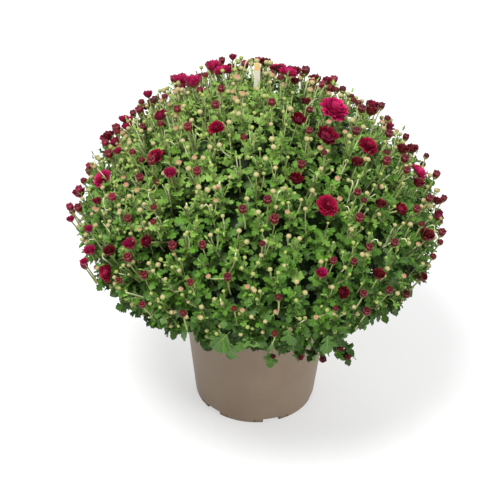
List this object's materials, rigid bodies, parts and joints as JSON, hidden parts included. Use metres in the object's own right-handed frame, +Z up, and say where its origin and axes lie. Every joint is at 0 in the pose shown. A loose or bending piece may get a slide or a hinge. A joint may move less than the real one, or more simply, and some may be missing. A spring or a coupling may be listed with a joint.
{
  "type": "potted chrysanthemum",
  "caption": "Round mound of lobed chrysanthemum leaves with opening dark red and magenta flower heads, in a tapered nursery pot that stands on its foot ring.",
  "frame": {"origin": "on the pot's axis, in the plane of its feet", "axes": "+Z up, -Y towards the front of the plant, +X to the right"},
  "size_m": [0.47, 0.47, 0.488],
  "materials": {
    "pot_plastic": "matte",
    "soil": "matte",
    "label_plastic": "satin",
    "foliage": "satin",
    "magenta_petals": "satin",
    "crimson_petals": "satin"
  },
  "bodies": {
    "root": {"pot": "pot_plastic", "potting_soil": "soil", "plant_label": "label_plastic", "spray_01": "foliage", "spray_02": "foliage", "spray_03": "foliage", "spray_04": "foliage", "spray_05": "foliage", "spray_06": "foliage", "spray_07": "foliage", "spray_08": "foliage", "spray_09": "foliage", "spray_10": "foliage", "spray_11": "foliage", "spray_12": "foliage", "spray_13": "foliage", "spray_14": "foliage", "spray_15": "foliage", "spray_16": "foliage", "spray_17": "foliage", "spray_18": "foliage", "spray_19": "foliage", "spray_20": "foliage", "spray_21": "foliage", "spray_22": "foliage", "bloom_01": "magenta_petals", "bloom_02": "crimson_petals", "bloom_03": "magenta_petals", "bloom_04": "magenta_petals", "bloom_05": "crimson_petals", "bloom_06": "magenta_petals", "bloom_07": "magenta_petals", "bloom_08": "crimson_petals", "bloom_09": "magenta_petals", "bloom_10": "crimson_petals", "bloom_11": "crimson_petals", "bloom_12": "magenta_petals", "bloom_13": "magenta_petals", "bloom_14": "magenta_petals", "bloom_15": "crimson_petals", "bloom_16": "magenta_petals", "bloom_17": "crimson_petals", "bloom_18": "crimson_petals", "bloom_19": "crimson_petals", "bloom_20": "crimson_petals", "bloom_21": "crimson_petals", "bloom_22": "crimson_petals", "bloom_23": "magenta_petals", "bloom_24": "crimson_petals", "bloom_25": "magenta_petals", "bloom_26": "crimson_petals", "bloom_27": "magenta_petals", "bloom_28": "crimson_petals", "bloom_29": "magenta_petals", "bloom_30": "crimson_petals", "bloom_31": "magenta_petals", "bloom_32": "crimson_petals"}
  },
  "joints": []
}
